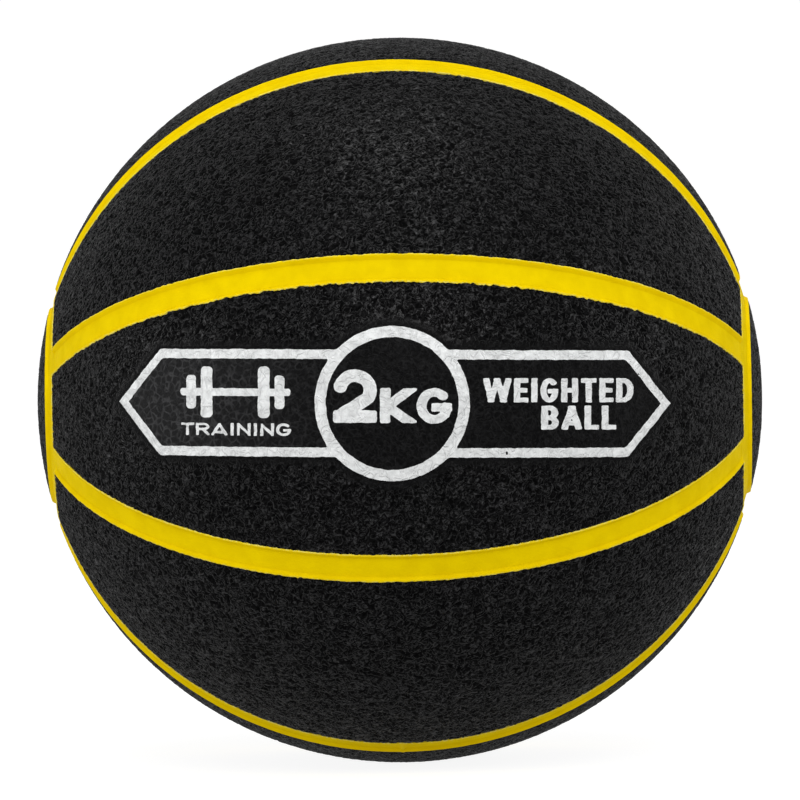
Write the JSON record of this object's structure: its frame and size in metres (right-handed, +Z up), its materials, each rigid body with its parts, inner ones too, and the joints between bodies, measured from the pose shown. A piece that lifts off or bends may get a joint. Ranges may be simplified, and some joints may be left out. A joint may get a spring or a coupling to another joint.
{
  "type": "medicine ball",
  "caption": "Weighted rubber training ball with sunken yellow seam channels between black pebbled panels, a ring channel at each pole, a printed label and a needle valve.",
  "frame": {"origin": "the ball's centre", "axes": "+X from the centre to the pole with the valve, where the seams meet; -Y through the middle of the front panel, which carries the label; +Z up"},
  "size_m": [0.1898, 0.19, 0.19],
  "materials": {
    "cover_rubber": "matte",
    "seam_rubber": "satin",
    "weight_rubber": "matte",
    "nylon_thread": "matte",
    "butyl_rubber": "satin",
    "valve_rubber": "satin",
    "label_film": "satin",
    "label_ink": "satin"
  },
  "bodies": {
    "root": {"cover_panel_front": "cover_rubber", "cover_panel_front_upper": "cover_rubber", "cover_panel_top": "cover_rubber", "cover_panel_back_upper": "cover_rubber", "cover_panel_back": "cover_rubber", "cover_panel_back_lower": "cover_rubber", "cover_panel_bottom": "cover_rubber", "cover_panel_front_lower": "cover_rubber", "pole_cap_valve_side": "cover_rubber", "pole_cap_plain_side": "cover_rubber", "seam_strip_front_high": "seam_rubber", "seam_strip_top_front": "seam_rubber", "seam_strip_top_back": "seam_rubber", "seam_strip_back_high": "seam_rubber", "seam_strip_back_low": "seam_rubber", "seam_strip_bottom_back": "seam_rubber", "seam_strip_bottom_front": "seam_rubber", "seam_strip_front_low": "seam_rubber", "pole_ring_valve_side": "seam_rubber", "pole_ring_plain_side": "seam_rubber", "weight_shell_valve_side": "weight_rubber", "weight_shell_plain_side": "weight_rubber", "thread_winding": "nylon_thread", "air_bladder": "butyl_rubber", "valve_housing": "valve_rubber", "valve_core": "valve_rubber", "label_film": "label_film", "label_frame": "label_ink"}
  },
  "joints": []
}
